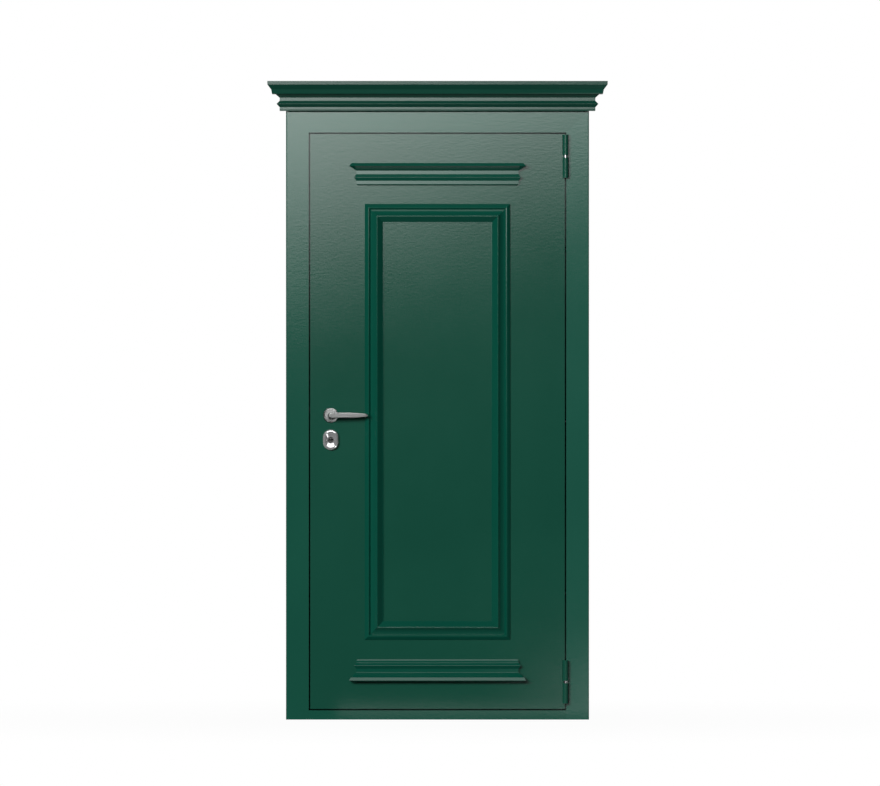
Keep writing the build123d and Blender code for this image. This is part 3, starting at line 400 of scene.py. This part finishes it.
def latch_spring_coil():
    """Round wire wound into a coil along x, in the latch spring's place."""
    low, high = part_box("latch_spring")
    middle = (low + high) / 2
    long = high.x - low.x
    coil_radius = (high.z - low.z) / 2 - spring_wire
    start = Vector((low.x + spring_wire, middle.y, middle.z + coil_radius))
    steps = spring_turns * spring_steps
    mesh = bmesh.new()
    face_along_y = Matrix.Translation(start) @ Matrix.Rotation(math.radians(90), 4, "X")
    bmesh.ops.create_circle(mesh, segments=spring_sides, radius=spring_wire, matrix=face_along_y)
    bmesh.ops.spin(
        mesh,
        geom=mesh.verts[:] + mesh.edges[:],
        cent=(start.x, middle.y, middle.z),
        axis=(1, 0, 0),
        dvec=((long - 2 * spring_wire) / steps, 0, 0),
        angle=math.tau * spring_turns,
        steps=steps,
    )
    bmesh.ops.holes_fill(mesh, edges=[edge for edge in mesh.edges if edge.is_boundary])
    bmesh.ops.recalc_face_normals(mesh, faces=mesh.faces)
    for face in mesh.faces:
        face.smooth = len(face.verts) == 4
    data = bpy.data.meshes.new("latch_spring_coil")
    mesh.to_mesh(data)
    mesh.free()
    data.materials.append(finishes["zinc_steel"])
    coil = bpy.data.objects.new("latch_spring_coil", data)
    bpy.context.scene.collection.objects.link(coil)
    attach(coil, "leaf")
    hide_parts("latch_spring")
    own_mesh(coil)


latch_spring_coil()


# Studio: white floor and surround, softboxes, and the camera at the photograph's angle


def mirrored_floor(tree, place):
    """Brightness of the floor in the paint: white behind the door, and a glow at the front right."""
    axes = add_node(tree, "ShaderNodeSeparateXYZ")
    tree.links.new(place, axes.inputs[0])
    across, along, _ = axes.outputs
    behind = spread(tree, ramp(tree, along, *floor_behind), floor_front_level, 1.0)
    glow = maths(tree, "POWER", ramp(tree, across, *floor_across), 2.0)
    glow = maths(tree, "MULTIPLY", glow, ramp(tree, across, *floor_far_edge))
    glow = maths(tree, "MULTIPLY", glow, ramp(tree, along, *floor_along))
    glow = maths(tree, "MULTIPLY", glow, ramp(tree, along, *floor_near_edge))
    return maths(tree, "MAXIMUM", behind, maths(tree, "MULTIPLY", glow, floor_glow))


def floor_finish():
    """Floor that shows white, keeps a faint shadow and is mirrored at its own brightness."""
    material = bpy.data.materials.new("floor_white")
    material.use_nodes = True
    tree = material.node_tree
    tree.nodes.clear()
    matt = add_node(tree, "ShaderNodeBsdfDiffuse", Color=(floor_albedo, floor_albedo, floor_albedo, 1))
    white = add_node(tree, "ShaderNodeEmission", Color=(1, 1, 1, 1))
    place = object_place(tree)
    rays = add_node(tree, "ShaderNodeLightPath").outputs
    seen = maths(tree, "MAXIMUM", rays["Is Camera Ray"], rays["Is Transmission Ray"])
    mirrored = maths(tree, "MULTIPLY", mirrored_floor(tree, place), rays["Is Glossy Ray"])
    tree.links.new(maths(tree, "MAXIMUM", seen, mirrored), white.inputs["Strength"])
    reach = vector_maths(tree, "LENGTH", place)["Value"]
    white_share = spread(tree, ramp(tree, reach, *floor_fade), *floor_white_shares)
    share = maths(tree, "MULTIPLY", maths(tree, "MAXIMUM", seen, rays["Is Glossy Ray"]), white_share)
    mix = add_node(tree, "ShaderNodeMixShader")
    tree.links.new(share, mix.inputs[0])
    tree.links.new(matt.outputs[0], mix.inputs[1])
    tree.links.new(white.outputs[0], mix.inputs[2])
    output = add_node(tree, "ShaderNodeOutputMaterial")
    tree.links.new(mix.outputs[0], output.inputs["Surface"])
    return material


def white_floor():
    """Plain flat floor just under the door."""
    mesh = bmesh.new()
    bmesh.ops.create_grid(mesh, x_segments=1, y_segments=1, size=floor_half)
    bmesh.ops.translate(mesh, verts=mesh.verts, vec=(0, 0, -floor_drop))
    data = bpy.data.meshes.new("floor")
    mesh.to_mesh(data)
    mesh.free()
    data.materials.append(floor_finish())
    floor = bpy.data.objects.new("floor", data)
    bpy.context.scene.collection.objects.link(floor)


def white_surround():
    """World: white to look at, soft and even as light, and dim in front of the door."""
    world = bpy.data.worlds.new("surround")
    bpy.context.scene.world = world
    world.use_nodes = True
    tree = world.node_tree
    background = tree.nodes["Background"]
    direction = add_node(tree, "ShaderNodeTexCoord").outputs["Generated"]
    facing = vector_maths(tree, "DOT_PRODUCT", direction, (0, -1, 0))["Value"]
    fade = add_node(
        tree,
        "ShaderNodeMapRange",
        {"interpolation_type": "SMOOTHSTEP"},
        From_Min=front_cone[0],
        From_Max=front_cone[1],
        To_Min=1.0,
        To_Max=0.0,
    )
    tree.links.new(facing, fade.inputs["Value"])
    away = fade.outputs["Result"]
    rays = add_node(tree, "ShaderNodeLightPath").outputs
    seen = maths(tree, "MAXIMUM", rays["Is Camera Ray"], rays["Is Transmission Ray"])
    lit = spread(tree, away, front_level, surround_level)
    mirrored = spread(tree, away, mirrored_front_level, mirrored_level)
    change = maths(tree, "MULTIPLY", maths(tree, "SUBTRACT", mirrored, lit), rays["Is Glossy Ray"])
    level = maths(tree, "ADD", lit, change)
    tree.links.new(maths(tree, "MAXIMUM", level, seen), background.inputs["Strength"])
    background.inputs["Color"].default_value = (1, 1, 1, 1)


def softbox(name, place, aim, wide, high, power, roll=0.0, graded=False, lights=True, mirrored=True):
    """Rectangular lamp that faces a point and isn't seen itself; a graded one fades to its lower edge."""
    lamp = bpy.data.lights.new(name, "AREA")
    lamp.shape = "RECTANGLE"
    lamp.size = wide
    lamp.size_y = high
    lamp.energy = power
    box = bpy.data.objects.new(name, lamp)
    box.location = place
    turn = (Vector(aim) - Vector(place)).to_track_quat("-Z", "Y").to_matrix().to_4x4()
    box.rotation_euler = (turn @ Matrix.Rotation(math.radians(roll), 4, "Z")).to_euler()
    box.visible_camera = False
    box.visible_diffuse = lights
    box.visible_glossy = mirrored
    bpy.context.scene.collection.objects.link(box)
    if graded:
        lamp.use_nodes = True
        tree = lamp.node_tree
        spot = add_node(tree, "ShaderNodeSeparateXYZ")
        tree.links.new(add_node(tree, "ShaderNodeNewGeometry").outputs["Parametric"], spot.inputs[0])
        tree.links.new(spot.outputs["Y"], tree.nodes["Emission"].inputs["Strength"])


def door_lamps():
    """One far key lamp, three softboxes that only show in the paint, and two lamps for the back."""
    softbox(
        "front_softbox",
        place=(0.0, -4.0, 2.27),
        aim=(0.0, 0.0, 2.27),
        wide=2.5,
        high=1.22,
        power=125.0,
        roll=17.6,
        graded=True,
        lights=False,
    )
    softbox(
        "key_softbox",
        place=(-8.1, -17.5, 6.3),
        aim=(0.0, 0.0, 1.1),
        wide=10.0,
        high=6.0,
        power=5000.0,
        mirrored=False,
    )
    softbox(
        "top_softbox",
        place=(-0.37, -2.4, 3.2),
        aim=(-0.37, 0.0, 1.0),
        wide=5.0,
        high=0.8,
        power=24.0,
        lights=False,
    )
    softbox(
        "low_softbox",
        place=(0.3, -0.5, 0.016),
        aim=(0.3, 0.0, 0.016),
        wide=1.3,
        high=0.03,
        power=0.2,
        lights=False,
    )
    softbox(
        "back_softbox",
        place=(-2.4, 3.0, 2.6),
        aim=(0.0, 0.0, 1.1),
        wide=1.6,
        high=1.6,
        power=90.0,
        mirrored=False,
    )
    softbox(
        "side_softbox",
        place=(3.2, 2.4, 2.2),
        aim=(0.4, 0.0, 1.1),
        wide=1.6,
        high=1.6,
        power=110.0,
        mirrored=False,
    )


def photo_camera():
    """Long lens, level and square to the door, framed as the photograph is."""
    view_wide = image_wide * metres_per_pixel
    distance = lens_mm / sensor_mm * view_wide
    face_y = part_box("outer_skin")[0].y
    data = bpy.data.cameras.new("camera")
    data.lens = lens_mm
    data.sensor_width = sensor_mm
    data.clip_end = view_limit
    camera = bpy.data.objects.new("camera", data)
    camera.location = (
        (image_wide / 2 - door_middle_px) * metres_per_pixel,
        face_y - distance,
        (floor_line_px - image_high / 2) * metres_per_pixel,
    )
    camera.rotation_euler = (math.radians(90), 0, 0)
    bpy.context.scene.collection.objects.link(camera)
    bpy.context.scene.camera = camera


white_floor()
white_surround()
door_lamps()
photo_camera()
bpy.context.scene.view_settings.view_transform = "Standard"
